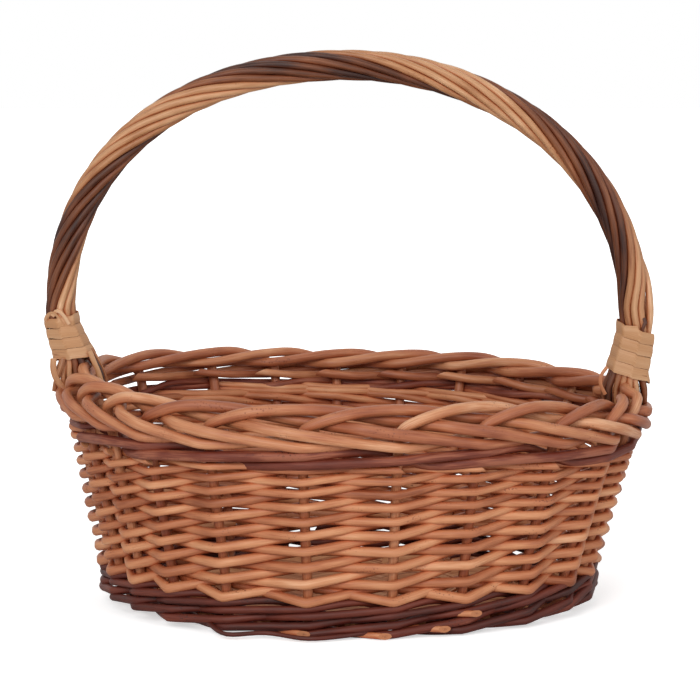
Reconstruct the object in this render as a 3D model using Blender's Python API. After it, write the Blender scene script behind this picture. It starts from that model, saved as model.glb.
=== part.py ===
"""An oval willow foraging basket with a wound bow handle.

A stick base, pierced cross sticks threaded by long sticks, holds twenty-two stakes by their feet. The stakes
stand up through a dark lower wale, the pale siding and a dark upper wale, and are then woven down into one
another as the border. A bow of one thick rod, wound with ten thin ones and bound at each foot, stands in the
wall at both ends. Metres, +Z up, origin under the middle of the base, long axis along X.
"""

import math

import bmesh
import bpy
from mathutils import Vector

MM = 0.001
SHARP_ANGLE = math.radians(50)

# Clearance between pieces that touch
FIT = 0.35 * MM

# Oval through the stakes' axes, at the foot and under the border
BASE_HALF_LENGTH = 157 * MM
BASE_HALF_WIDTH = 112.5 * MM
RIM_HALF_LENGTH = 184 * MM
RIM_HALF_WIDTH = 134.5 * MM
FLARE_POWER = 1.3

# Layers of the wall, from the ground up
BASE_THICKNESS = 11.5 * MM
LOWER_WALE_HEIGHT = 25.2 * MM
SIDING_HEIGHT = 86.8 * MM
UPPER_WALE_HEIGHT = 7.8 * MM

# Stakes: thin end in the base, butt in the border. A turn share is how far round the oval one stands, from
# +X anticlockwise; the zone share is the part of a stake space that a stake itself takes up.
STAKE_RADIUS = 2.8 * MM
BORDER_ROD_RADIUS = 3.85 * MM
FOOT_LENGTH = 22 * MM
FOOT_BEND = 9 * MM
FOOT_TURN_POWER = 6
FOOT_END_SHARE = 0.35
STAKE_SIDES = 5
STAKE_TURN_SHARES = (
    0.0, 0.0583, 0.1, 0.1403, 0.1792, 0.2181, 0.2583, 0.2972, 0.3389, 0.3972, 0.45,
    0.5, 0.5528, 0.5889, 0.625, 0.6681, 0.7233, 0.7767, 0.8236, 0.8722, 0.9167, 0.9514,
)
HANDLE_STAKES = (0, 11)
STAKE_ZONE_SHARE = 0.12

# Border: each rod goes behind two stakes, in front of two and behind one. The rows give how many stake
# spaces along, and how many rod pitches up and out from the wall, the rod has come.
BORDER_PATH_SHARES = (
    (0.0, 1.5, 0.0),
    (0.12, 2.25, 0.23),
    (0.3, 2.71, 0.29),
    (0.55, 2.98, 0.16),
    (0.8, 3.11, -0.24),
    (1.0, 3.09, -0.62),
    (1.3, 2.95, -0.92),
    (1.6, 2.6, -1.0),
    (2.12, 2.02, -0.95),
    (2.35, 1.9, -0.18),
    (2.6, 1.83, 0.73),
    (2.85, 1.57, 1.02),
    (3.1, 1.29, 1.15),
    (3.5, 0.82, 1.09),
    (4.0, 0.4, 1.01),
    (4.25, 0.3, 0.63),
    (4.5, 0.52, -0.02),
    (4.75, 0.75, -0.77),
    (5.25, 1.1, -1.05),
)
BORDER_LIFT = 2.7 * MM
BESIDE_HANDLE_SHARES = (0.8, 1.0)
BESIDE_HANDLE_LIFT_SHARE = 0.34

# Weavers and waling rods, as bands round the stakes
WEAVER_THICKNESS = 4.6 * MM
WALE_ROD_THICKNESS = 5.4 * MM
LOWER_WALE_ROUNDS = 4
LOWER_WALE_TUCK = 3 * MM
WALE_VALLEY_SHARE = 0.8
SIDING_COURSES = 10
COURSE_CLOSING_SHARE = 0.12
SIDING_VALLEY_SHARE = 0.68
GAP_THICKNESS_SHARE = 0.4

# Base sticks
STICK_SETBACK = 1.2 * MM
CROSS_STICK_WIDTH = 8 * MM
CROSS_STICK_HEIGHT = 9.2 * MM
CROSS_STICK_PLACE_SHARES = (-0.6, -0.35, 0.0, 0.287, 0.55)
LONG_STICK_RADIUS = 2.7 * MM
LONG_STICK_FAN = 23 * MM
LONG_STICKS = 3
STICK_SIDES = 8

# Handle bow: a thick rod flattened at both feet and pushed down the wall
HANDLE_HALF_SPAN = 190 * MM
HANDLE_SHOULDER = 45 * MM
HANDLE_RISE = 162.5 * MM
BOW_RADIUS = 4.9 * MM
BOW_SIDES = 8
BLADE_THICKNESS = 4.4 * MM
BLADE_WIDTH = 9 * MM
BLADE_TIP_SHARE = 0.6
BLADE_DEPTH = 90 * MM
BOW_STEPS = 24

# Handle rods: wound round the bow, each step by one rod's place, at a steady rate that runs out towards the
# right foot, then splayed over the border. The brown ones lie side by side, and so do the buff ones.
WRAP_ROD_RADIUS = 2.2 * MM
WRAP_RODS = 10
WRAP_SIDES = 5
WRAP_STEPS_TURNED = 27
WRAP_EASE_SHARE = 0.15
WRAP_EASE_POWER = 6
FIRST_BROWN_SLOT = 7
SPLAY_TOP = 32 * MM
BORDER_FIT = 1 * MM
OUTER_SPLAY_END = 9 * MM
ROD_TAIL_DEPTH = 42 * MM
SIDE_TAIL_DEPTH = 50 * MM

# Bindings: a flat skein in close turns round each foot
SKEIN_WIDTH = 6.7 * MM
SKEIN_THICKNESS = 1 * MM
SKEIN_FIT = 0.65 * MM
SKEIN_PITCH = 7.3 * MM
SKEIN_TURNS = 4
SKEIN_STEPS = 24
BINDING_LIFT = 8 * MM

# Cutters run this far past the faces they open; a channel is square, so its corners reach past the rod
OVERRUN = 6 * MM
CHANNEL_SIDES = 4
CHANNEL_SHARE = 1 / math.cos(math.pi / CHANNEL_SIDES)

# Heights and widths that follow from the values above
SIDING_FOOT = LOWER_WALE_HEIGHT + FIT
UPPER_WALE_FOOT = SIDING_FOOT + SIDING_HEIGHT + FIT
UPPER_WALE_TOP = UPPER_WALE_FOOT + UPPER_WALE_HEIGHT
BORDER_FOOT = UPPER_WALE_TOP + BORDER_LIFT
ROD_PITCH = 2 * BORDER_ROD_RADIUS + FIT
BORDER_TOP = BORDER_FOOT + max(row[1] for row in BORDER_PATH_SHARES) * ROD_PITCH + BORDER_ROD_RADIUS
FLARE_TOP = BORDER_FOOT + BORDER_PATH_SHARES[0][1] * ROD_PITCH
BLADE_PASS = BLADE_THICKNESS / 2 + FIT + BORDER_ROD_RADIUS
SIDE_ROD_OFFSET = BLADE_WIDTH / 2 + FIT + WRAP_ROD_RADIUS
POST_HALF_WIDTH = SIDE_ROD_OFFSET + WRAP_ROD_RADIUS + FIT + BORDER_ROD_RADIUS
CLEAR_OF_BORDER = BORDER_ROD_RADIUS + BORDER_FIT + WRAP_ROD_RADIUS
OUTER_ROD_OFFSET = max(row[2] for row in BORDER_PATH_SHARES) * ROD_PITCH + CLEAR_OF_BORDER
INNER_ROD_OFFSET = min(row[2] for row in BORDER_PATH_SHARES) * ROD_PITCH - CLEAR_OF_BORDER
WRAP_CIRCLE = BOW_RADIUS + FIT * 2 + WRAP_ROD_RADIUS
FOOT_HEIGHT = BASE_THICKNESS / 2
LONG_STICK_PITCH = 2 * LONG_STICK_RADIUS + 3 * FIT
STAKES = len(STAKE_TURN_SHARES)


def material(name, colour, roughness):
    """A plain Principled finish in one colour."""
    made = bpy.data.materials.new(name)
    made.use_nodes = True
    shader = made.node_tree.nodes["Principled BSDF"]
    shader.inputs["Base Color"].default_value = (*colour, 1)
    shader.inputs["Roughness"].default_value = roughness
    return made


def add(name, bm, finish=None):
    """The mesh as an object with its normals outwards; without a finish it is a cutter."""
    bmesh.ops.recalc_face_normals(bm, faces=bm.faces[:])
    mesh = bpy.data.meshes.new(name)
    bm.to_mesh(mesh)
    bm.free()
    made = bpy.data.objects.new(name, mesh)
    bpy.context.scene.collection.objects.link(made)
    if finish:
        mesh.materials.append(finish)
        mesh.shade_smooth()
        mesh.set_sharp_from_angle(angle=SHARP_ANGLE)
    else:
        made.hide_render = True
        made.display_type = "WIRE"
    return made


def cut(target, cutter):
    """Takes the cutter out of the target."""
    step = target.modifiers.new("cut", "BOOLEAN")
    step.operation = "DIFFERENCE"
    step.solver = "EXACT"
    step.object = cutter


def loft(bm, rings):
    """Joins rings of points into one closed tube with flat ends."""
    rows = [[bm.verts.new(point) for point in ring] for ring in rings]
    for low, high in zip(rows, rows[1:]):
        for here in range(len(low)):
            after = (here + 1) % len(low)
            bm.faces.new((low[here], low[after], high[after], high[here]))
    bm.faces.new(rows[0][::-1])
    bm.faces.new(rows[-1])


def rod_rings(points, radii, sides):
    """Round sections across a path, each carried on from the last without twist."""
    rings = []
    across = None
    for index, point in enumerate(points):
        before = points[max(index - 1, 0)]
        after = points[min(index + 1, len(points) - 1)]
        along = (after - before).normalized()
        if across is None:
            across = along.orthogonal()
        across = (across - along * across.dot(along)).normalized()
        third = along.cross(across)
        ring = []
        for side in range(sides):
            angle = math.tau * side / sides
            ring.append(point + radii[index] * (across * math.cos(angle) + third * math.sin(angle)))
        rings.append(ring)
    return rings


def smooth(share):
    """Eases from 0 to 1 without a corner at either end."""
    share = min(max(share, 0), 1)
    return share * share * (3 - 2 * share)


def half_axes(height):
    """Half length and half width of the oval through the stakes."""
    share = (min(max(height, 0), FLARE_TOP) / FLARE_TOP) ** FLARE_POWER
    length = BASE_HALF_LENGTH + (RIM_HALF_LENGTH - BASE_HALF_LENGTH) * share
    width = BASE_HALF_WIDTH + (RIM_HALF_WIDTH - BASE_HALF_WIDTH) * share
    return length, width


def on_wall(turn, height, out):
    """A point that far out from the wall, at a turn round the oval in radians."""
    length, width = half_axes(height)
    normal = Vector((width * math.cos(turn), length * math.sin(turn), 0)).normalized()
    return Vector((length * math.cos(turn), width * math.sin(turn), height)) + normal * out


def stake_turn(index):
    """Where a stake stands; the two beside the handle clear its foot."""
    share = STAKE_TURN_SHARES[index % STAKES] + index // STAKES
    beside = index % STAKES in HANDLE_STAKES
    return math.tau * share + (POST_HALF_WIDTH / RIM_HALF_WIDTH if beside else 0)


def turn_at(spaces):
    """The turn at a number of stake spaces; the space that ends at a handle foot leaves room for it."""
    first = math.floor(spaces)
    part = spaces - first
    start = stake_turn(first)
    span = stake_turn(first + 1) - start
    taken = STAKE_ZONE_SHARE
    if (first + 1) % STAKES in HANDLE_STAKES:
        taken = 2 * POST_HALF_WIDTH / RIM_HALF_WIDTH / span
    free = 1 - STAKE_ZONE_SHARE
    if part < free:
        return start + span * (1 - taken) * part / free
    return start + span * (1 - taken * (1 - part) / STAKE_ZONE_SHARE)


def stake_path(index):
    """The stake's axis from its tip in the base to its butt in the border, and its radius along it."""
    turn = stake_turn(index)
    corner = on_wall(turn, FOOT_HEIGHT + FOOT_BEND, 0)
    inward = Vector((
        -math.copysign(FOOT_END_SHARE * abs(math.cos(turn)) ** FOOT_TURN_POWER, math.cos(turn)),
        -math.copysign(abs(math.sin(turn)) ** FOOT_TURN_POWER, math.sin(turn)),
        0,
    )).normalized()
    path = [(corner + inward * FOOT_LENGTH - Vector((0, 0, FOOT_BEND)), STAKE_RADIUS)]
    for quarter_share in (0, 1 / 2):
        angle = math.pi / 2 * quarter_share
        drop = Vector((0, 0, FOOT_BEND * math.cos(angle)))
        path.append((corner + inward * FOOT_BEND * (1 - math.sin(angle)) - drop, STAKE_RADIUS))
    heights = (FOOT_HEIGHT + FOOT_BEND, SIDING_FOOT + SIDING_HEIGHT / 4, UPPER_WALE_FOOT)
    path += [(on_wall(turn, height, 0), STAKE_RADIUS) for height in heights]
    for spaces, up, out in BORDER_PATH_SHARES:
        away = out * ROD_PITCH
        height = BORDER_FOOT + up * ROD_PITCH
        if (index + 1) % STAKES in HANDLE_STAKES and spaces in BESIDE_HANDLE_SHARES:
            away = -BLADE_PASS
            height += BESIDE_HANDLE_LIFT_SHARE * ROD_PITCH
        point = on_wall(turn_at(index + spaces), height, away)
        path.append((point, BORDER_ROD_RADIUS))
    return path


def bow_path():
    """Stations of the handle's axis from foot to foot, with the outward direction at each."""
    arch_foot = BORDER_TOP + HANDLE_SHOULDER
    stations = []
    for step in range(BOW_STEPS + 1):
        angle = math.pi * step / BOW_STEPS
        across = -HANDLE_HALF_SPAN * math.cos(angle)
        height = arch_foot + HANDLE_RISE * math.sin(angle)
        outward = Vector((-HANDLE_RISE * math.cos(angle), 0, HANDLE_HALF_SPAN * math.sin(angle)))
        stations.append((Vector((across, 0, height)), outward.normalized()))
    return stations


def leg_point(side, height):
    """The handle's axis below the arch: it leans in to the rim and then follows the wall."""
    if height < BORDER_TOP:
        return on_wall(0 if side > 0 else math.pi, height, 0)
    share = (height - BORDER_TOP) / HANDLE_SHOULDER
    lean = HANDLE_HALF_SPAN - RIM_HALF_LENGTH
    return Vector((side * (RIM_HALF_LENGTH + lean * (1 - (1 - share) ** 2)), 0, height))


def bow_sections(grow):
    """Sections of the bow from tip to tip, each grown by that much: flat blade, round rod, flat blade."""
    tip = BORDER_TOP - BLADE_DEPTH
    legs = (
        (tip, BLADE_THICKNESS / 2 * BLADE_TIP_SHARE, BLADE_WIDTH / 2 * BLADE_TIP_SHARE),
        (UPPER_WALE_FOOT, BLADE_THICKNESS / 2, BLADE_WIDTH / 2),
        (FLARE_TOP, BLADE_THICKNESS / 2, BLADE_WIDTH / 2),
        (BORDER_TOP, BLADE_THICKNESS / 2, BLADE_WIDTH / 2),
        (BORDER_TOP + HANDLE_SHOULDER / 3, BOW_RADIUS, BOW_RADIUS),
        (BORDER_TOP + HANDLE_SHOULDER * 2 / 3, BOW_RADIUS, BOW_RADIUS),
    )
    sections = [(leg_point(-1, height), Vector((-1, 0, 0)), deep, wide) for height, deep, wide in legs]
    sections += [(point, outward, BOW_RADIUS, BOW_RADIUS) for point, outward in bow_path()]
    sections += [(leg_point(1, height), Vector((1, 0, 0)), deep, wide) for height, deep, wide in legs[::-1]]
    rings = []
    for point, outward, deep, wide in sections:
        ring = []
        for side in range(BOW_SIDES):
            angle = math.tau * (side + 0.5) / BOW_SIDES
            flat = Vector((0, -(wide + grow) * math.sin(angle), 0))
            ring.append(point + outward * (deep + grow) * math.cos(angle) + flat)
        rings.append(ring)
    return rings


def foot_place(slot, height):
    """How far out and towards the viewer a wrap rod lies in the foot, at a height over the rim's top."""
    angle = math.tau * (slot + 0.5) / WRAP_RODS
    out = WRAP_CIRCLE * math.cos(angle)
    along = WRAP_CIRCLE * math.sin(angle)
    side_slot = abs(math.cos(angle)) < abs(math.sin(angle)) / WRAP_RODS
    if side_slot:
        share = smooth((SPLAY_TOP - height) / SPLAY_TOP)
        return out, along + (math.copysign(SIDE_ROD_OFFSET, along) - along) * share
    outer = out > 0
    share = smooth((SPLAY_TOP - height) / (SPLAY_TOP + (OUTER_SPLAY_END if outer else 0)))
    target = OUTER_ROD_OFFSET if outer else INNER_ROD_OFFSET
    rank = 0.5 if abs(out) > abs(along) else 1.5
    spread = math.copysign(rank * (2 * WRAP_ROD_RADIUS + 2 * FIT), along)
    return out + (target - out) * share, along + (spread - along) * share


def foot_point(side, slot, height):
    """A wrap rod's axis in a foot, at a height over the ground."""
    out, along = foot_place(slot, height - BORDER_TOP)
    return leg_point(side, height) + Vector((side * out, -along, 0))


def tail_heights(slot):
    """Heights of a wrap rod's stations from its cut end up to the arch."""
    angle = math.tau * (slot + 0.5) / WRAP_RODS
    side_slot = abs(math.cos(angle)) < abs(math.sin(angle)) / WRAP_RODS
    depth = SIDE_TAIL_DEPTH if side_slot else ROD_TAIL_DEPTH
    offsets = (-depth, -OUTER_SPLAY_END, SPLAY_TOP / 4, SPLAY_TOP / 2, SPLAY_TOP * 3 / 4)
    return [BORDER_TOP + offset for offset in offsets]


def steps_turned(share):
    """How many rod places the winding has turned by a share of the arch, from its left foot."""
    return WRAP_STEPS_TURNED * (share + WRAP_EASE_SHARE * (share - share ** WRAP_EASE_POWER))


def wrap_path(slot):
    """A wrap rod's axis from its left tail, round the bow, to its right tail."""
    points = [foot_point(-1, slot, height) for height in tail_heights(slot)]
    stations = bow_path()
    for step, (point, outward) in enumerate(stations):
        angle = math.tau / WRAP_RODS * (slot + 0.5 + steps_turned(step / BOW_STEPS))
        flat = Vector((0, -WRAP_CIRCLE * math.sin(angle), 0))
        points.append(point + outward * WRAP_CIRCLE * math.cos(angle) + flat)
    last = (slot + WRAP_STEPS_TURNED) % WRAP_RODS
    points += [foot_point(1, last, height) for height in tail_heights(last)[::-1]]
    return points


def skein_edge(paths, facing, height):
    """Inner and outer point of a skein's edge, drawn tight round the rods' paths at a height over the ground."""
    touched = []
    for path in paths:
        above = next(index for index, point in enumerate(path) if point.z >= height)
        low, high = path[above - 1], path[above]
        rise = high.z - low.z
        slope = (high - low).dot(facing) / rise
        reach = WRAP_ROD_RADIUS * math.sqrt(1 + slope * slope) + SKEIN_FIT
        touched.append(low.lerp(high, (height - low.z) / rise) + facing * reach)
    inner = max(touched, key=facing.dot)
    return [inner, inner + facing * SKEIN_THICKNESS]


def skein_rings(side):
    """Rectangular sections of a binding along its turns, round rods that start at that side's tails."""
    paths = [wrap_path(slot)[::-side] for slot in range(WRAP_RODS)]
    rings = []
    for step in range(SKEIN_TURNS * SKEIN_STEPS + 1):
        angle = math.tau * step / SKEIN_STEPS
        facing = Vector((side * math.cos(angle), -math.sin(angle), 0))
        low = BORDER_TOP + BINDING_LIFT + SKEIN_PITCH * step / SKEIN_STEPS
        high = low + SKEIN_WIDTH
        rings.append(skein_edge(paths, facing, low) + skein_edge(paths, facing, high)[::-1])
    return rings


def skein_gap(side):
    """The least gap between one turn of a binding and the next, on its points."""
    rings = skein_rings(side)
    pairs = zip(rings, rings[SKEIN_STEPS:])
    return min((high[0] - low[3]).length for low, high in pairs)


def band(bm, columns, profile):
    """A closed ring: a profile of heights and offsets laid round the oval at each column."""
    loops = []
    for column in range(columns):
        spaces = STAKES * column / columns
        loops.append([bm.verts.new(on_wall(turn_at(spaces), height, out)) for height, out in profile(spaces)])
    for here, after in zip(loops, loops[1:] + loops[:1]):
        for row in range(len(here)):
            above = (row + 1) % len(here)
            bm.faces.new((here[row], after[row], after[above], here[above]))


def lower_wale_profile(spaces):
    """Four rounds of rods, the lowest tucked in under the others, over a flat foot."""
    reach = STAKE_RADIUS + WALE_ROD_THICKNESS
    step = LOWER_WALE_HEIGHT / LOWER_WALE_ROUNDS
    rows = [(0, reach - LOWER_WALE_TUCK - STAKE_RADIUS / 2)]
    for course in range(LOWER_WALE_ROUNDS):
        crest = reach - (LOWER_WALE_TUCK if course == 0 else 0)
        rows.append((step * (course + 0.5), crest))
        if course < LOWER_WALE_ROUNDS - 1:
            rows.append((step * (course + 1), reach * WALE_VALLEY_SHARE))
    rows.append((LOWER_WALE_HEIGHT, reach * WALE_VALLEY_SHARE))
    inner = STAKE_RADIUS + WEAVER_THICKNESS
    return rows + [(LOWER_WALE_HEIGHT, -inner), (0, -inner)]


def siding_profile(spaces):
    """Outside, a ridge for each course of strokes in front of a stake, closer together towards the top.

    The wall is thin where the weavers cross between two stakes.
    """
    share = abs(math.cos(math.pi * spaces))
    thin = WEAVER_THICKNESS * GAP_THICKNESS_SHARE
    reach = STAKE_RADIUS + WEAVER_THICKNESS
    crest = thin + (reach - thin) * share
    valley = thin + (reach * SIDING_VALLEY_SHARE - thin) * share
    rows = []
    for half_course in range(2 * SIDING_COURSES + 1):
        rise = half_course / (2 * SIDING_COURSES)
        height = SIDING_FOOT + SIDING_HEIGHT * (rise + COURSE_CLOSING_SHARE * rise * (1 - rise))
        rows.append((height, crest if half_course % 2 else valley))
    return rows + [(SIDING_FOOT + SIDING_HEIGHT, -crest), (SIDING_FOOT, -crest)]


def upper_wale_profile(spaces):
    """One round of two twisted rods."""
    reach = STAKE_RADIUS + WALE_ROD_THICKNESS
    inner = STAKE_RADIUS + WEAVER_THICKNESS
    low, high = UPPER_WALE_FOOT, UPPER_WALE_TOP
    middle = (low + high) / 2
    flat = reach * WALE_VALLEY_SHARE
    return [(low, flat), (middle, reach), (high, flat), (high, -inner), (low, -inner)]


def base_edge():
    """How far inside the stakes' oval the base ends."""
    return -(STAKE_RADIUS + WEAVER_THICKNESS + FIT)


def base_reach(aside, half_across, half_along):
    """How far along one axis a stick that lies that far aside can run and stay inside the base."""
    share = aside / (half_across + base_edge())
    return (half_along + base_edge()) * math.sqrt(1 - share * share) - STICK_SETBACK


def build_base(willow, weave):
    """Cross sticks with slots, long sticks threaded through them, and the weave round both."""
    slot_half = LONG_STICKS * LONG_STICK_PITCH / 2
    cross_cutter = bmesh.new()
    long_cutter = bmesh.new()
    slots = bmesh.new()
    length = 2 * (BASE_HALF_LENGTH + OVERRUN)
    made = bmesh.ops.create_cube(slots, size=1)
    size = Vector((length, 2 * slot_half + FIT, 2 * (LONG_STICK_RADIUS + FIT)))
    bmesh.ops.scale(slots, vec=size, verts=made["verts"])
    bmesh.ops.translate(slots, vec=Vector((0, 0, FOOT_HEIGHT)), verts=made["verts"])
    slot_cutter = add("slot_cutter", slots)
    edge = base_edge()
    for number, share in enumerate(CROSS_STICK_PLACE_SHARES, 1):
        place = share * BASE_HALF_LENGTH
        end = base_reach(abs(place) + CROSS_STICK_WIDTH / 2, BASE_HALF_LENGTH, BASE_HALF_WIDTH)
        for grow, over in ((0, 0), (FIT, OVERRUN)):
            bm = cross_cutter if grow else bmesh.new()
            rings = []
            for stand in (-1, 1):
                ring = []
                for side in range(STICK_SIDES):
                    angle = math.tau * (side + 0.5) / STICK_SIDES
                    across = place + (CROSS_STICK_WIDTH / 2 + grow) * math.cos(angle)
                    up = FOOT_HEIGHT + (CROSS_STICK_HEIGHT / 2 + grow) * math.sin(angle)
                    ring.append(Vector((across, stand * (end + over), up)))
                rings.append(ring)
            loft(bm, rings)
            if not grow:
                stick = add(f"base_cross_stick_{number}", bm, willow)
                cut(stick, slot_cutter)
    last_place = max(abs(share) for share in CROSS_STICK_PLACE_SHARES) * BASE_HALF_LENGTH
    straight = last_place + CROSS_STICK_WIDTH
    for number in range(LONG_STICKS):
        order = number - (LONG_STICKS - 1) / 2
        near = order * LONG_STICK_PITCH
        far = order * LONG_STICK_FAN
        tip = base_reach(abs(far) + LONG_STICK_RADIUS, BASE_HALF_WIDTH, BASE_HALF_LENGTH)
        middle = (straight + tip) / 2
        rows = ((-tip, far), (-middle, (near + far) / 2), (-straight, near))
        rows += tuple((-x, y) for x, y in rows[::-1])
        points = [Vector((x, y, FOOT_HEIGHT)) for x, y in rows]
        bm = bmesh.new()
        loft(bm, rod_rings(points, [LONG_STICK_RADIUS] * len(points), STICK_SIDES))
        add(f"base_long_stick_{number + 1}", bm, willow)
        points[0] += (points[0] - points[1]).normalized() * OVERRUN
        points[-1] += (points[-1] - points[-2]).normalized() * OVERRUN
        loft(long_cutter, rod_rings(points, [LONG_STICK_RADIUS + FIT] * len(points), STICK_SIDES))
    disc = bmesh.new()
    loops = []
    for height in (0, BASE_THICKNESS):
        rise = Vector((0, 0, height))
        loops.append([on_wall(turn_at(column / 2), 0, edge) + rise for column in range(2 * STAKES)])
    loft(disc, loops)
    base = add("base_weave", disc, weave)
    cut(base, add("cross_cutter", cross_cutter))
    cut(base, add("long_cutter", long_cutter))
    return base


def build_wall(willow, bark, weave, base):
    """Stakes, and the woven bands round them with a channel for each stake and handle foot."""
    cutter = bmesh.new()
    for index in range(STAKES):
        path = stake_path(index)
        points = [point for point, radius in path]
        radii = [radius for point, radius in path]
        bm = bmesh.new()
        loft(bm, rod_rings(points, radii, STAKE_SIDES))
        add(f"stake_{index + 1:02d}", bm, willow)
        stop = len(path) - len(BORDER_PATH_SHARES) + 1
        fat = [(radius + FIT) * CHANNEL_SHARE for radius in radii[:stop]]
        loft(cutter, rod_rings(points[:stop], fat, CHANNEL_SIDES))
    stake_cutter = add("stake_cutter", cutter)
    bow = bmesh.new()
    loft(bow, bow_sections(FIT))
    bow_cutter = add("bow_cutter", bow)
    tails = bmesh.new()
    for side in (-1, 1):
        for slot in range(WRAP_RODS):
            if abs(foot_place(slot, 0)[0]) < WRAP_ROD_RADIUS:
                points = [foot_point(side, slot, height) for height in tail_heights(slot)]
                points[0] -= Vector((0, 0, FIT))
                fat = (WRAP_ROD_RADIUS + FIT) * CHANNEL_SHARE
                loft(tails, rod_rings(points, [fat] * len(points), CHANNEL_SIDES))
    tail_cutter = add("tail_cutter", tails)
    rings = (
        ("lower_wale", bark, 2 * STAKES, lower_wale_profile),
        ("siding", weave, 2 * STAKES, siding_profile),
        ("upper_wale", bark, 2 * STAKES, upper_wale_profile),
    )
    cut(base, stake_cutter)
    for name, finish, columns, profile in rings:
        bm = bmesh.new()
        band(bm, columns, profile)
        ring = add(name, bm, finish)
        cut(ring, stake_cutter)
        if name != "lower_wale":
            cut(ring, bow_cutter)
            cut(ring, tail_cutter)


def build_handle(bow, brown, buff, skein):
    """The bow, ten rods wound round it in two colours, and a skein binding round each foot."""
    bm = bmesh.new()
    loft(bm, bow_sections(0))
    add("handle_bow", bm, bow)
    for number in range(WRAP_RODS):
        half = WRAP_RODS // 2
        colour, finish = ("brown", brown) if number < half else ("buff", buff)
        points = wrap_path((FIRST_BROWN_SLOT + number) % WRAP_RODS)
        bm = bmesh.new()
        loft(bm, rod_rings(points, [WRAP_ROD_RADIUS] * len(points), WRAP_SIDES))
        add(f"handle_rod_{colour}_{number % half + 1}", bm, finish)
    for side, name in ((-1, "left"), (1, "right")):
        bm = bmesh.new()
        loft(bm, skein_rings(side))
        add(f"binding_{name}", bm, skein)
        print(f"binding_{name}: least gap between turns {skein_gap(side) / MM:.2f} mm")


def build():
    """Clears the scene and makes the basket."""
    for old in list(bpy.data.objects):
        bpy.data.objects.remove(old)
    willow = material("peeled_willow", (0.45, 0.19, 0.085), 0.5)
    weave = material("buff_siding", (0.42, 0.17, 0.075), 0.55)
    bark = material("dark_willow_bark", (0.095, 0.03, 0.02), 0.5)
    bow = material("bow_willow", (0.3, 0.13, 0.06), 0.55)
    brown = material("brown_handle_rod", (0.16, 0.065, 0.035), 0.5)
    buff = material("buff_handle_rod", (0.52, 0.27, 0.13), 0.5)
    skein = material("willow_skein", (0.6, 0.33, 0.18), 0.45)
    base = build_base(willow, weave)
    build_wall(willow, bark, weave, base)
    build_handle(bow, brown, buff, skein)


build()
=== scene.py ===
# Looks of an oval willow foraging basket. Every rod of the base, the wales, the siding, the border and the
# handle is drawn along its real course over and under its neighbours. Metres, +Z up, +X along the handle.

import math
import random

import bmesh
import bpy
from mathutils import Matrix, Vector, noise


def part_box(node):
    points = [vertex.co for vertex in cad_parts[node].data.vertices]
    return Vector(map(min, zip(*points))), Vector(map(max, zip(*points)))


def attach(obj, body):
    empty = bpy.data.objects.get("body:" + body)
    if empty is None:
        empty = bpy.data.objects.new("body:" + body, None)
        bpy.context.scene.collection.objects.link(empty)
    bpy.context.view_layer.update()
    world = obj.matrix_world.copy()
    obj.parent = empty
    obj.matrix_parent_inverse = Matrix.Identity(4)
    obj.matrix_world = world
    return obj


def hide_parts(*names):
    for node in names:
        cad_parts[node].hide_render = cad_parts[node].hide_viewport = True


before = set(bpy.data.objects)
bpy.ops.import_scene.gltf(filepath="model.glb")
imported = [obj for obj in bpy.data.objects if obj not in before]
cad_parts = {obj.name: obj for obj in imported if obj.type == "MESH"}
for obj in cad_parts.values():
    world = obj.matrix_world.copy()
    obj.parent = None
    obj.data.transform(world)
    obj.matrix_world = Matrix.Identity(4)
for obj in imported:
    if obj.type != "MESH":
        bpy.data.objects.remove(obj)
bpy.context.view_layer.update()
MM = 0.001
SEED = 22
CHANCE = random.Random(SEED)
noise.seed_set(SEED)
UP = Vector((0, 0, 1))
TO_VIEWER = Vector((0, -1, 0))
NO_SLANT = Vector((0, 0, 0))

# Oval through the stakes' axes, at the foot and under the border
BASE_HALF_LENGTH = 157 * MM
BASE_HALF_WIDTH = 112.5 * MM
RIM_HALF_LENGTH = 184 * MM
RIM_HALF_WIDTH = 134.5 * MM
FLARE_POWER = 1.3

# Layers of the wall, as the frame has them
BASE_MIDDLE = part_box("base_weave")[1].z / 2
SIDING_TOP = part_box("siding")[1].z
UPPER_WALE_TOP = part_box("upper_wale")[1].z
BORDER_GAP = 2.7 * MM
BORDER_FOOT = UPPER_WALE_TOP + BORDER_GAP
FLARE_OVERRUN = 12 * MM
FLARE_TOP = BORDER_FOOT + FLARE_OVERRUN
FLOOR_DROP = 0.3 * MM

# The real wall isn't level: it was woven higher at the back, and its foot lifts at both ends. Starts and
# spans are sines or cosines of the turn round the oval.
BACK_RISE = 9.5 * MM
BACK_RISE_START = -0.25
BACK_RISE_SPAN = 0.9
BACK_SETTLE = 34 * MM
LEFT_LIFT = 8 * MM
RIGHT_LIFT = 4.5 * MM
END_LIFT_TOP = 60 * MM

# Its right end leans out and sags, and the border rises towards its left end
RIGHT_REACH = 6.5 * MM
RIGHT_SAG = 7 * MM
RIGHT_LEAN_FOOT = 25 * MM
RIGHT_LEAN_START = 0.45
RIGHT_LEAN_SPAN = 0.5
LEFT_BORDER_RISE = 6.5 * MM
LEFT_RISE_FOOT = 95 * MM
LEFT_RISE_HEIGHT = 40 * MM
LEFT_RISE_START_BACK = -0.1
LEFT_RISE_START_FRONT = 0.6

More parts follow.
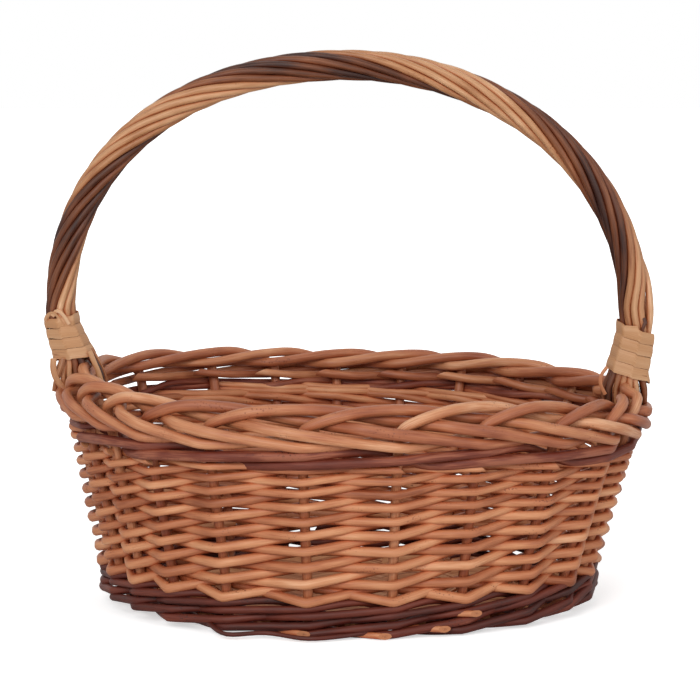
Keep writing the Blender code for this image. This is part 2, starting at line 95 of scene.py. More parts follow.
# Stakes: how far round the oval each stands, from +X anticlockwise. As border rods they vary in thickness and
# are thinner at the back. Their feet bend into the base.
STAKE_TURN_SHARES = (
    0.0, 0.0583, 0.1, 0.1403, 0.1792, 0.2181, 0.2583, 0.2972, 0.3389, 0.3972, 0.45,
    0.5, 0.5528, 0.5889, 0.625, 0.6681, 0.7233, 0.7767, 0.8236, 0.8722, 0.9167, 0.9514,
)
STAKES = len(STAKE_TURN_SHARES)
HANDLE_STAKES = (0, 11)
STAKE_ZONE_SHARE = 0.12
STAKE_BEND = 0.035
STAKE_RADIUS = 3.25 * MM
STAKE_HEIGHTS = (40 * MM, 70 * MM, 95 * MM)
BORDER_ROD_RADIUS = 3.9 * MM
BORDER_ROD_SHARES = (0.9, 1.04)
BACK_THINNING = 0.13
BACK_THINNING_START = -0.3
FOOT_LENGTH = 22 * MM
FOOT_BEND = 9 * MM
FOOT_BEND_PART_SHARES = (0, 1 / 3, 2 / 3)
FOOT_TURN_POWER = 6
FOOT_END_SHARE = 0.35
FOOT_TIP_SHARE = 0.85
FOOT_THICKNESS_SHARE = 0.95

# Border: the course of one rod, in stake spaces along, and millimetres above the border's foot and out from
# the wall
BORDER_COURSE = (
    (0, -14, 0), (0, 0, 0), (0, 9.5, 0.2), (0.05, 13.8, 1.1), (0.18, 17.8, 2.2), (0.42, 22.4, 2.3),
    (0.6, 24.4, 1), (0.8, 25.1, -1.9), (1, 25, -5), (1.3, 23.8, -7.4), (1.6, 21, -8.1), (1.9, 17.9, -8.1),
    (2.12, 16.4, -7.7), (2.35, 15.4, -1.4), (2.58, 14.9, 6), (2.66, 14.2, 7.6), (3.1, 10.4, 9.3),
    (3.9, 3.6, 8.8), (4, 2.9, 8.4), (4.1, 2.7, 7), (4.5, 3.6, -0.2), (4.75, 4.6, -6.2), (4.85, 5.2, -7.8),
    (5.25, 7.4, -8.5),
)
BORDER_THICK_FROM_POINT = 5
BORDER_TIP_START = 3
BORDER_TIP_SHARE = 0.78
BORDER_CUT_SLANT = 1.2
BORDER_CUT_DROPS = (0.8, 1.6)

# Where a border rod passes the handle's bow, at these spaces of its course, it lies further in and higher
BESIDE_HANDLE = (0.8, 1.0)
BLADE_PASS = 6.4 * MM
BESIDE_HANDLE_LIFT = 2.7 * MM

# Siding: each weaver runs level to the stake it goes in front of, and then climbs to the next one. Its thin
# last strokes lie close under the upper wale. How many there are varies, and there are more at the back, from
# that sine of the turn.
SIDING_STROKES = 18
LAST_STROKES = (0.05, 0.05, 1.1, 2.04)
BACK_STROKES = 2
BACK_STROKES_START = 0.1
FIRST_WEAVER = 23 * MM
WEAVER_BUTT = 3.3 * MM
WEAVER_TIP = 2.5 * MM
WEAVER_RISE_LOW = 6 * MM
WEAVER_RISE_HIGH = 3.75 * MM
WEAVER_KINK_LOW = 4.3 * MM
WEAVER_KINK_HIGH = 2.6 * MM
WEAVER_START = 7.5 * MM
LAST_RISE = 1.9 * MM
WEAVER_SHIFT = 0.3 * MM
WEAVER_JITTER = 0.4 * MM

# Wales: each rod climbs in front of all but one stake of its stroke, and drops behind that one. Over the last
# part of a round it climbs onto that round. Its strokes lie closer to level at the back, where the upper wale
# also lies higher.
WALE_CROSSING = 0.4
WALE_CROSSING_REACH = 0.2
WALE_ROUND_CLIMB_START = 0.6
WALE_TAPER_POWER = 1.5
WALE_BUTT_SHARE = 0.1
WALE_BACK_CLOSENESS = 0.45
WALE_JITTER = 0.35 * MM
THICKNESS_SHARES = (0.94, 1.06)
LOWER_WALE_ROD = 2.7 * MM
LOWER_WALE_CLIMB = 5.5 * MM
LOWER_WALE_MIDDLE = 5.6 * MM
LOWER_WALE_PITCH = 11 * MM
LOWER_WALE_BULGE = 2.4 * MM
LOWER_WALE_TAPER = 0.16
UPPER_WALE_TAPER = 0.5
UPPER_WALE_ROD = 3.3 * MM
UPPER_WALE_CLIMB = 4.8 * MM
UPPER_WALE_MIDDLE = 117.4 * MM
UPPER_WALE_BACK_RISE = 1.3 * MM

# Base: sticks and rounds of two twisted weavers, inside the stakes. Rounds longer than the fanned length pass
# the long sticks where those are fanned out.
BASE_EDGE = STAKE_RADIUS + 5 * MM
BASE_LENGTH = BASE_HALF_LENGTH - BASE_EDGE
BASE_WIDTH = BASE_HALF_WIDTH - BASE_EDGE
BASE_WEAVER = 1.8 * MM
BASE_ROUND_PITCH = 3.9 * MM
BASE_MIDDLE_OPENING = 10 * MM
TWIST_STEP = 0.35
TWIST_SWAY = 0.8 * MM
CROSS_STICK_PLACE_SHARES = (-0.6, -0.35, 0.0, 0.287, 0.55)
CROSS_STICK_PARTS = 6
CROSS_STICK_HALF_WIDTH = 4 * MM
CROSS_STICK_HALF_HEIGHT = 2.35 * MM
CROSS_STICK_GAP = 1.2 * MM
CROSS_STICK_TIP = 6 * MM
LONG_STICK_RADIUS = 2.6 * MM
LONG_STICK_PITCH = 6.45 * MM
LONG_STICK_FAN = 23 * MM
LONG_STICK_STRAIGHT = 8 * MM
LONG_STICK_GAP = 2 * MM
LONG_STICK_FANNED = 120 * MM
LONG_STICK_SINE_LIMIT = 0.9

# Handle: a bow rod inside ten wound ones. The arch is a little fuller on its left.
ARCH_MIDDLE = -2 * MM
ARCH_HALF_SPAN = 190 * MM
ARCH_FOOT = 197 * MM
ARCH_RISE = 160.5 * MM
ARCH_FULLNESS = 4 * MM
ARCH_STEPS = 24
POST_HALF_WIDTH = 13.45 * MM
BOW_RADIUS = 5.3 * MM
BOW_SHOULDER_RADIUS = 4 * MM
BOW_LEFT_SHOULDER = (-184 * MM, 0, 165 * MM)
BOW_RIGHT_SHOULDER = (185 * MM, 0, 160 * MM)
WRAP_RODS = 10
WRAP_CIRCLE = 7.8 * MM
WRAP_ROD_RADIUS = 2.38 * MM
WRAP_STEPS_TURNED = 27
WRAP_EASE_SHARE = 0.05
WRAP_EASE_POWER = 6
FIRST_BROWN_SLOT = 7

# The bow's pared feet in the wall: height and radius
BOW_FOOT = ((62 * MM, 1.6 * MM), (110 * MM, 2.4 * MM), (145 * MM, 3 * MM))

# One wound rod stands off the others above the right binding: its slot there, the share of the arch where it
# starts, and how far out it stands
LOOSE_SLOT = 0
LOOSE_START = 0.9
LOOSE_REACH = 3.8 * MM

# Handle feet in millimetres: height, how far out the middle of the rods lies, and half their spread along
# and across. Places are where each rod ends from that middle, outwards and towards the viewer.
LEFT_FOOT = (
    (197, 191.8, 7.8, 7.8), (187, 191.2, 8.7, 7.8), (176, 187.5, 10.2, 7.2),
    (164, 182.4, 11.9, 6.8), (153, 180.6, 15, 7), (137, 180.2, 19, 8),
)
RIGHT_FOOT = (
    (197, 188.2, 7.8, 7.8), (182, 190, 9.7, 7.8), (168, 187.5, 10.7, 7.2),
    (153, 183.8, 11.8, 6.8), (143, 182.6, 15, 7), (130, 183, 19, 8),
)
LEFT_PLACES = (
    (-3.6, 6.4), (1, 7), (14, 3.5), (9.9, 5.8), (5.6, 6.8),
    (5, -7), (10, -5), (-2, -7), (-17.5, -2), (-14.5, 3),
)
RIGHT_PLACES = (
    (7.6, 6.2), (3.2, 7), (-1.3, 7), (-5.6, 6.4), (-10.6, 5),
    (-13.6, 1.2), (-9, -6), (12.6, -2.5), (13.6, 2), (1, -7),
)
FOOT_CLEARANCE = 0.5 * MM
TUCK_CHECKS = 48

# Below the binding a rod thins towards its tail
TAIL_SHARES = (0.85, 0.6)

# Bindings: bottom, pitch and tilt of a flat skein in close turns round each foot. Its face is domed.
LEFT_BINDING = (163.6 * MM, 7 * MM, 0.07)
RIGHT_BINDING = (151.6 * MM, 8 * MM, 0.25)
SKEIN_THICKNESS = 0.9 * MM
SKEIN_TURNS = 4
SKEIN_STEPS = 72
SKEIN_STEPS_ACROSS = 4
SKEIN_START_SHARE = 0.72
SKEIN_GAP = 0.25 * MM
SKEIN_DOME = 0.3 * MM
SKEIN_DOME_FALL = 1.6 * MM
SKEIN_TURN_LENGTH = 100 * MM
SKEIN_TONE = 0.5
SKEIN_TONE_CHANGE = 0.35
SKEIN_CORNERS = (10, 80, 135, 185, 230, 275, 325)

# Ties, strips of skein, willow and bark, mostly at the feet: finish, half width and points in millimetres
TIES = (
    ("skein", 1.6, (
        (-201.6, -4, 188.5), (-200.4, -7, 192), (-196.4, -9.5, 194.4), (-192.5, -10, 191), (-190, -9.5, 186),
    )),
    ("skein", 1.5, ((-197, -8.8, 192.5), (-193.2, -10.6, 196), (-189.5, -10.8, 193), (-186, -9.8, 187))),
    ("skein", 2.1, ((-196.6, -8, 164), (-196.6, -10, 157), (-194.4, -11, 150.5), (-189.4, -12, 143.5))),
    ("handle_buff", 1.6, ((-190, -9, 164), (-192, -10.4, 157), (-195, -10, 149), (-196.4, -8, 142))),
    ("skein", 1.7, (
        (-172.5, -9.5, 169), (-169.6, -10, 162), (-166.4, -10, 154), (-165, -8, 146), (-168, -5, 139),
    )),
    ("handle_brown", 0.8, (
        (-171, -8, 171), (-166, -8.5, 162), (-162.6, -8, 154), (-161.6, -7, 147), (-165, -5, 140),
    )),
    ("siding", 1.2, ((170.5, -9, 158.5), (166.6, -10, 153), (166.2, -10, 147), (169.5, -9, 140))),
    ("handle_brown", 1.2, ((194.4, -8, 191), (195.4, -9, 188), (193.6, -9.2, 184), (194.2, -8, 178))),
    ("siding", 1.7, ((-31.6, -129.5, 135.2), (-27, -130, 136), (-19, -130, 136))),
)
TIE_FLATNESS = 0.35
TIE_STEP = 2 * MM

# A thin rod that hangs out of the wale under the front: share of the way round, and millimetres up and out
HANGING_ROD = (
    (0.645, 6, 3), (0.655, 4, 7), (0.6756, 2, 22), (0.698, 3, 12.5),
    (0.725, 2, 17), (0.75, 3, 9), (0.768, 5, 4),
)
HANGING_ROD_RADIUS = 1.5 * MM
HANGING_ROD_TONE = 0.3

# Sawn stake feet that show under the front: share of the way round and millimetres up. Each comes out of the
# wall aslant, through the places out from it, to its cut.
STAKE_FEET = ((0.7215, 3.4), (0.7714, 2.3), (0.809, 5), (0.83, 13.5))
STAKE_FOOT_COURSE = (-6, 0, 6, 11.3)
STAKE_FOOT_RADIUS = 2.2 * MM
STAKE_FOOT_TURN_SHARE = 0.002
STAKE_FOOT_SLANT = Vector((0.87, 1.5, 0))

# How rods are drawn: the step between stations, how far they wander from their course, and their first seed
BORDER_DRAWN = (3.2 * MM, 0.35 * MM, 0)
SIDING_DRAWN = (5 * MM, 0.3 * MM, 40)
WALE_DRAWN = (4.5 * MM, 0.4 * MM, 90)
CROSS_STICK_DRAWN = (30 * MM, 0.2 * MM, 0)
LONG_STICK_DRAWN = (12 * MM, 0.2 * MM, 9)
BASE_ROUND_DRAWN = (7 * MM, 0.2 * MM, 200)
HANDLE_DRAWN = (4.5 * MM, 0.2 * MM, 300)
HANGING_DRAWN = (5 * MM, 0.3 * MM, 401)
BOW_STEP = 6 * MM

# Waves of that wander and swell per metre, and how far apart two seeds lie in their noise
WANDER_WAVES = 22
WANDER_APART = 7.3
SWELL_WAVES = 60
SWELL_APART = 3.1
SWELL_SHARE = 0.05

# Tones, from the darkest to the palest of a finish's colours
ROD_TONES = (0.2, 0.8)
STICK_TONES = (0.3, 0.8)
BASE_ROUND_TONES = (0.1, 0.9)
LOWER_WALE_TONES = (0.25, 0.6)
UPPER_WALE_TONES = (0.7, 0.95)
HANDLE_TONES = {"brown": (0.05, 0.6), "buff": (0.3, 0.9)}

# Willow's patterns, repeats per metre: streaks about 14 mm long, patches of 38 by 9 mm, specks 2 mm apart,
# which gather at buds about 29 mm apart along a rod and 11 mm round it, and the fibres and pith of a cut end,
# drawn coarser than real ones so that they show
STREAKS_ALONG = 70
PATCHES_ALONG = 26
PATCHES_ROUND = 110
SPECKS = 520
BUDS_ALONG = 34
BUDS_ROUND = 90
CUT_FIBRES = 1800
PITH_RINGS = 260

# How far along its noise each rod's grain starts, and how far painted shade between close rods reaches
GRAIN_APART = 37
PAINTED_SHADE_REACH = 8 * MM
SHARP_EDGE = math.radians(50)

# Camera, as the photograph was taken
CAMERA_PLACE = Vector((0, -1970.5, 436.4)) * MM
CAMERA_PITCH = 0.1351
CAMERA_FOCAL_PIXELS = 2988
PHOTO_PIXELS = 700
SENSOR_WIDTH = 36

# Studio: lamps with their name, place, size and power, all aimed at the basket's middle, and the room's light
LAMPS = (
    ("key_lamp", (-0.7, -2.0, 1.2), 1.2, 30),
    ("fill_lamp", (1.5, -1.6, 0.8), 1.2, 13),
    ("top_lamp", (0.1, 0.5, 2.0), 1.2, 6),
)
LAMP_AIM = Vector((0, 0, 0.12))
ROOM_LIGHT = 0.43
FLOOR_SIZE = 6


def half_axes(height):
    """Half length and half width of the oval through the stakes."""
    share = (min(max(height, 0), FLARE_TOP) / FLARE_TOP) ** FLARE_POWER
    length = BASE_HALF_LENGTH + (RIM_HALF_LENGTH - BASE_HALF_LENGTH) * share
    width = BASE_HALF_WIDTH + (RIM_HALF_WIDTH - BASE_HALF_WIDTH) * share
    return length, width


def smooth(share):
    """Eases from 0 to 1 without a corner at either end."""
    share = min(max(share, 0), 1)
    return share * share * (3 - 2 * share)


def unevenness(turn, height):
    """How much higher than level the wall was woven there."""
    back = BACK_RISE * smooth((math.sin(turn) - BACK_RISE_START) / BACK_RISE_SPAN)
    if height < SIDING_TOP:
        back *= max(height, 0) / SIDING_TOP
    else:
        back *= max(0, 1 - (height - SIDING_TOP) / BACK_SETTLE)
    along = math.cos(turn)
    lift = (RIGHT_LIFT if along > 0 else LEFT_LIFT) * along * along * max(0, 1 - height / END_LIFT_TOP)
    start = LEFT_RISE_START_BACK if math.sin(turn) > 0 else LEFT_RISE_START_FRONT
    rise = LEFT_BORDER_RISE * smooth((-along - start) / (1 - start))
    return back + lift + rise * smooth((height - LEFT_RISE_FOOT) / LEFT_RISE_HEIGHT)


def on_wall(turn, height, out):
    """A point that far out from the wall, at a turn round the oval in radians."""
    length, width = half_axes(height)
    normal = Vector((width * math.cos(turn), length * math.sin(turn), 0)).normalized()
    place = Vector((length * math.cos(turn), width * math.sin(turn), height + unevenness(turn, height)))
    lean = min(max((height - RIGHT_LEAN_FOOT) / (SIDING_TOP - RIGHT_LEAN_FOOT), 0), 1)
    lean *= smooth((math.cos(turn) - RIGHT_LEAN_START) / RIGHT_LEAN_SPAN)
    return place + normal * out + Vector((RIGHT_REACH, 0, -RIGHT_SAG)) * lean


def stake_turn(index):
    """Where a stake stands; the two beside the handle clear its foot."""
    share = STAKE_TURN_SHARES[index % STAKES] + index // STAKES
    beside = index % STAKES in HANDLE_STAKES
    return math.tau * share + (POST_HALF_WIDTH / RIM_HALF_WIDTH if beside else 0)


def turn_at(spaces):
    """The turn at a number of stake spaces; the space that ends at a handle foot leaves room for it."""
    first = math.floor(spaces)
    part = spaces - first
    start = stake_turn(first)
    span = stake_turn(first + 1) - start
    taken = STAKE_ZONE_SHARE
    if (first + 1) % STAKES in HANDLE_STAKES:
        taken = 2 * POST_HALF_WIDTH / RIM_HALF_WIDTH / span
    free = 1 - STAKE_ZONE_SHARE
    if part < free:
        return start + span * (1 - taken) * part / free
    return start + span * (1 - taken * (1 - part) / STAKE_ZONE_SHARE)


def row(point, radius):
    """A station of a rod: its place and its radius there."""
    return Vector((*point, radius))


def smooth_course(rows, step):
    """Stations every step or so on a curve through the rows, which bends where they lie close together."""
    gaps = [max((after - before).length, 1e-6) for before, after in zip(rows, rows[1:])]
    slopes = [(after - before) / gap for before, after, gap in zip(rows, rows[1:], gaps)]
    leans = [slopes[0]]
    for before, after, gap, next_gap in zip(slopes, slopes[1:], gaps, gaps[1:]):
        leans.append((before * gap + after * next_gap) / (gap + next_gap))
    leans.append(slopes[-1])
    course = []
    for index, gap in enumerate(gaps):
        count = max(1, round(gap / step))
        for part in range(count):
            t = part / count
            course.append(
                rows[index] * (2 * t ** 3 - 3 * t ** 2 + 1) + leans[index] * (gap * (t ** 3 - 2 * t ** 2 + t))
                + rows[index + 1] * (3 * t ** 2 - 2 * t ** 3) + leans[index + 1] * (gap * (t ** 3 - t ** 2))
            )
    course.append(rows[-1])
    return course


def grown(rows, drawn, number=0):
    """A rod through the rows as it grew: it wanders a little, and swells and thins along its length."""
    step, wander, first_seed = drawn
    seed = first_seed + number
    course = smooth_course(rows, step)
    made = []
    along = 0
    for index, station in enumerate(course):
        if index:
            along += (station - course[index - 1]).length
        drift = noise.noise_vector(Vector((along * WANDER_WAVES, seed * WANDER_APART, 1))) * wander
        swell = 1 + SWELL_SHARE * noise.noise(Vector((along * SWELL_WAVES, seed * SWELL_APART, 5)))
        made.append(row(Vector(station[:3]) + drift, station[3] * swell))
    return made


def stations(course, facing):
    """The turn and place of a rod's section at each station, carried on without twist from where it faces."""
    points = [Vector(station[:3]) for station in course]
    last = len(points) - 1
    tangents = [(points[min(i + 1, last)] - points[max(i - 1, 0)]).normalized() for i in range(last + 1)]
    side = facing.cross(tangents[0]).normalized()
    turn = Matrix((side, tangents[0].cross(side), tangents[0])).transposed().to_quaternion()
    placed = []
    for index, point in enumerate(points):
        if index:
            turn = tangents[index - 1].rotation_difference(tangents[index]) @ turn
        placed.append(Matrix.Translation(point) @ turn.to_matrix().to_4x4())
    return placed


def new_piece():
    """An empty mesh with the layers that the finishes read: where along and across its rod, and its tone."""
    bm = bmesh.new()
    bm.verts.layers.float_vector.new("grain")
    bm.verts.layers.float.new("tone")
    return bm


def add_rod(bm, course, sides=8, tone=0.5, slants=(NO_SLANT, NO_SLANT), flat=1, facing=UP):
    """Extrudes a section along the course, with a cut face at each end.

    A slant is the direction whose side reaches further along the rod. A flat section is thin where it faces.
    """
    grain = bm.verts.layers.float_vector["grain"]
    shade = bm.verts.layers.float["tone"]
    placed = stations(course, facing)
    last = len(placed) - 1
    along = tone * GRAIN_APART
    made = bmesh.ops.create_circle(bm, cap_ends=True, radius=1, segments=sides)
    ring = made["verts"]
    cap = ring[0].link_faces[0]
    cap.material_index = 1
    edges = list(cap.edges)
    before = Matrix.Identity(4)
    for index, place in enumerate(placed):
        radius = course[index][3]
        if index:
            along += (course[index] - course[index - 1]).length
            out = bmesh.ops.extrude_edge_only(bm, edges=edges)["geom"]
            ring = [item for item in out if isinstance(item, bmesh.types.BMVert)]
            fresh = set(ring)
            edges = [e for e in out if isinstance(e, bmesh.types.BMEdge) and set(e.verts) <= fresh]
            for item in out:
                if isinstance(item, bmesh.types.BMFace):
                    item.material_index = 0
        slant = Matrix.Identity(4)
        if index in (0, last):
            turned = place.to_quaternion().inverted() @ slants[index == last]
            slant[2][0] = turned.x
            slant[2][1] = turned.y
        section = place @ slant @ Matrix.Diagonal((radius, radius * flat, 1, 1))
        bmesh.ops.transform(bm, matrix=section @ before.inverted(), verts=ring)
        back = section.inverted()
        for vert in ring:
            local = back @ vert.co
            vert[grain] = Vector((along, local.x * radius, local.y * radius))
            vert[shade] = tone
        before = section
    end = bmesh.ops.contextual_create(bm, geom=edges)["faces"]
    for face in end:
        face.material_index = 1


def add_piece(name, bm, finishes, replaced=()):
    """Makes the mesh a piece that rides on the basket, and hides the solids named."""
    bmesh.ops.recalc_face_normals(bm, faces=bm.faces[:])
    mesh = bpy.data.meshes.new(name)
    bm.to_mesh(mesh)
    bm.free()
    for finish in finishes:
        mesh.materials.append(finish)
    mesh.shade_smooth()
    mesh.set_sharp_from_angle(angle=SHARP_EDGE)
    piece = bpy.data.objects.new(name, mesh)
    bpy.context.scene.collection.objects.link(piece)
    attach(piece, "root")
    if replaced:
        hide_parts(*replaced)


def add_rod_piece(name, course, finishes, finish, slot, replaced=(), **section):
    """A piece of one rod with cut ends; the section's settings are those of add_rod."""
    bm = new_piece()
    add_rod(bm, course, **section)
    add_piece(name, bm, (finishes[finish], finishes["cut"]), replaced)


def linear(code):
    """An sRGB hex colour as the linear values that a shader takes."""
    parts = [int(code[i:i + 2], 16) / 255 for i in (1, 3, 5)]
    return tuple(c / 12.92 if c <= 0.04045 else ((c + 0.055) / 1.055) ** 2.4 for c in parts) + (1,)


def add_node(tree, kind, settings=None, links=None):
    """Adds a node: settings are its properties or socket values, links are sockets to join."""
    made = tree.nodes.new(kind)
    for name, value in (settings or {}).items():
        if isinstance(name, str) and hasattr(made, name):
            setattr(made, name, value)
        else:
            made.inputs[name].default_value = value
    for name, source in (links or {}).items():
        tree.links.new(source, made.inputs[name])
    return made


def new_finish(name):
    """An empty material and its Principled shader."""
    made = bpy.data.materials.new(name)
    made.use_nodes = True
    return made, made.node_tree, made.node_tree.nodes["Principled BSDF"]


def colour_ramp(tree, factor, stops):
    """A ramp through (position, hex colour) stops."""
    ramp = add_node(tree, "ShaderNodeValToRGB", links={"Fac": factor})
    points = ramp.color_ramp.elements
    while len(points) < len(stops):
        points.new(1)
    for point, (position, code) in zip(points, stops):
        point.position = position
        point.color = linear(code)
    return ramp.outputs["Color"]


def willow(name, stops, scar, roughness, streak_mm=0.7, painted_shade_tint="#F3BDA0"):
    """A willow finish: long fine grain, slow changes of tone, and fine dark specks where its buds sat.

    The stops run from the darkest to the palest tone; scar is the colour of the specks round its buds, and
    crevice is the colour of painted shade, multiplied in where its rods lie close together.
    """
    made, tree, shader = new_finish(name)
    place = add_node(tree, "ShaderNodeAttribute", {"attribute_name": "grain"}).outputs["Vector"]
    tone = add_node(tree, "ShaderNodeAttribute", {"attribute_name": "tone"}).outputs["Fac"]
    streaks_round = 1 / (streak_mm * MM)
    scale = (STREAKS_ALONG, streaks_round, streaks_round)
    scaled = add_node(tree, "ShaderNodeMapping", {"Scale": scale}, {"Vector": place})
    streaks = add_node(tree, "ShaderNodeTexNoise", {"Scale": 1, "Detail": 3}, {"Vector": scaled.outputs[0]})
    scale = (PATCHES_ALONG, PATCHES_ROUND, PATCHES_ROUND)
    scaled = add_node(tree, "ShaderNodeMapping", {"Scale": scale}, {"Vector": place})
    patches = add_node(tree, "ShaderNodeTexNoise", {"Scale": 1, "Detail": 2}, {"Vector": scaled.outputs[0]})
    mixed = add_node(
        tree, "ShaderNodeMath", {"operation": "MULTIPLY_ADD", 1: 0.8}, {0: streaks.outputs["Fac"], 2: tone}
    )
    mixed = add_node(
        tree, "ShaderNodeMath", {"operation": "MULTIPLY_ADD", 1: 1.3},
        {0: patches.outputs["Fac"], 2: mixed.outputs[0]},
    )
    factor = add_node(
        tree, "ShaderNodeMapRange", {"From Min": 1.0, "From Max": 2.1}, {"Value": mixed.outputs[0]}
    )
    body = colour_ramp(tree, factor.outputs["Result"], stops)
    cells = add_node(tree, "ShaderNodeTexVoronoi", {"Scale": SPECKS}, {"Vector": place})
    spot = add_node(
        tree, "ShaderNodeMapRange", {"From Min": 0.36, "From Max": 0.16}, {"Value": cells.outputs["Distance"]}
    )
    scale = (BUDS_ALONG, BUDS_ROUND, BUDS_ROUND)
    scaled = add_node(tree, "ShaderNodeMapping", {"Scale": scale}, {"Vector": place})
    buds = add_node(tree, "ShaderNodeTexNoise", {"Scale": 1, "Detail": 0}, {"Vector": scaled.outputs[0]})
    at_bud = add_node(
        tree, "ShaderNodeMapRange", {"From Min": 0.63, "From Max": 0.74}, {"Value": buds.outputs["Fac"]}
    )
    scars = add_node(
        tree, "ShaderNodeMath", {"operation": "MULTIPLY"},
        {0: spot.outputs["Result"], 1: at_bud.outputs["Result"]},
    )
    mark = add_node(tree, "ShaderNodeMath", {"operation": "MULTIPLY", 1: 0.75}, {0: scars.outputs[0]})
    skin = add_node(tree, "ShaderNodeMix", {"data_type": "RGBA"}, {0: mark.outputs[0], 6: body})
    skin.inputs[7].default_value = linear(scar)
    # Painted shade and red bounce light: darker and redder where rods lie close together
    open_air = add_node(tree, "ShaderNodeAmbientOcclusion", {"Distance": PAINTED_SHADE_REACH, "samples": 4})
    closed = add_node(
        tree, "ShaderNodeMapRange", {"From Min": 0.9, "From Max": 0.3}, {"Value": open_air.outputs["AO"]}
    )
    with_painted_shade = add_node(
        tree, "ShaderNodeMix", {"data_type": "RGBA", "blend_type": "MULTIPLY"},
        {0: closed.outputs["Result"], 6: skin.outputs[2]},
    )
    with_painted_shade.inputs[7].default_value = linear(painted_shade_tint)
    tree.links.new(with_painted_shade.outputs[2], shader.inputs["Base Color"])
    shader.inputs["Specular IOR Level"].default_value = 0.35
    rough = add_node(
        tree, "ShaderNodeMapRange", {"To Min": roughness - 0.08, "To Max": roughness + 0.12},
        {"Value": streaks.outputs["Fac"]},
    )
    tree.links.new(rough.outputs["Result"], shader.inputs["Roughness"])
    relief = add_node(
        tree, "ShaderNodeMath", {"operation": "MULTIPLY_ADD", 1: 0.5},
        {0: patches.outputs["Fac"], 2: streaks.outputs["Fac"]},
    )
    dented = add_node(
        tree, "ShaderNodeMath", {"operation": "SUBTRACT"}, {0: relief.outputs[0], 1: scars.outputs[0]}
    )
    bump = add_node(
        tree, "ShaderNodeBump", {"Strength": 0.5, "Distance": 0.25 * MM}, {"Height": dented.outputs[0]}
    )
    tree.links.new(bump.outputs["Normal"], shader.inputs["Normal"])
    return made


def cut_wood(name, heart, rim):
    """The sawn or knifed end of a rod: pale wood, matt, with a darker pith."""
    made, tree, shader = new_finish(name)
    place = add_node(tree, "ShaderNodeAttribute", {"attribute_name": "grain"}).outputs["Vector"]
    flat = add_node(tree, "ShaderNodeMapping", {"Scale": (0, 1, 1)}, {"Vector": place})
    distance = add_node(tree, "ShaderNodeVectorMath", {"operation": "LENGTH"}, {0: flat.outputs[0]})
    fibres = add_node(tree, "ShaderNodeTexNoise", {"Scale": CUT_FIBRES, "Detail": 2}, {"Vector": place})
    share = add_node(
        tree, "ShaderNodeMath", {"operation": "MULTIPLY_ADD", 1: PITH_RINGS},
        {0: distance.outputs["Value"], 2: fibres.outputs["Fac"]},
    )
    skin = colour_ramp(tree, share.outputs[0], ((0.35, heart), (0.75, rim)))
    tree.links.new(skin, shader.inputs["Base Color"])
    shader.inputs["Roughness"].default_value = 0.7
    bump = add_node(
        tree, "ShaderNodeBump", {"Strength": 0.4, "Distance": 0.2 * MM}, {"Height": fibres.outputs["Fac"]}
    )
    tree.links.new(bump.outputs["Normal"], shader.inputs["Normal"])
    return made


def make_finishes():
    """Every finish of the basket by name."""
    made = {}
    # Boiled and stripped willow: warm orange brown, satin, smooth to the eye with fine long grain
    made["siding"] = willow(
        "buff_willow_siding", ((0.0, "#84482B"), (0.4, "#AE6D49"), (0.75, "#C48860"), (1.0, "#D6A27C")),
        "#6B3620", 0.5,
    )
    # The same willow, thicker rods: a little redder and glossier where it is bent over the rim
    # Its painted shade between close rods is fainter than the other finishes'
    made["border"] = willow(
        "buff_willow_border", ((0.0, "#80422A"), (0.4, "#A16040"), (0.75, "#BA7E58"), (1.0, "#D2A07C")),
        "#6E3822", 0.45, painted_shade_tint="#FDE6D8",
    )
    # Brown willow dried in its bark: dark reddish brown, dull satin, with paler scuffs
    made["bark"] = willow(
        "brown_willow_bark", ((0.0, "#300F08"), (0.45, "#541F12"), (0.8, "#6E3322"), (1.0, "#92563E")),
        "#221010", 0.55,
    )
    # Thinner brown and buff rods of the handle, polished a little by hands
    made["handle_brown"] = willow(
        "brown_handle_rod", ((0.0, "#2E1208"), (0.4, "#66381F"), (0.75, "#875334"), (1.0, "#C29068")),
        "#3A1E14", 0.48,
    )
    made["handle_buff"] = willow(
        "buff_handle_rod", ((0.0, "#7A4628"), (0.4, "#A87650"), (0.75, "#C0936D"), (1.0, "#DFB896")),
        "#84502F", 0.42,
    )
    # Willow split and shaved into a flat skein: pale, silky, with straight fibres
    made["skein"] = willow(
        "shaved_willow_skein", ((0.0, "#96603A"), (0.4, "#B28158"), (0.75, "#C69B75"), (1.0, "#D9B797")),
        "#8A5836", 0.4, streak_mm=0.45,
    )
    # Buff willow that hands don't reach, in the base and inside the handle: duller
    made["base"] = willow(
        "buff_willow_base", ((0.0, "#8A5030"), (0.4, "#B4754C"), (0.75, "#C78C60"), (1.0, "#D6A37A")),
        "#6B3620", 0.55,
    )
    made["bow"] = willow(
        "hidden_bow_willow", ((0.0, "#6E4026"), (0.5, "#966039"), (1.0, "#B58058")), "#4E2A18", 0.55
    )
    # The knife or saw leaves a rod's end matt, darker at its pith
    made["cut"] = cut_wood("knifed_willow_end", "#7A4427", "#AE7049")
    return made


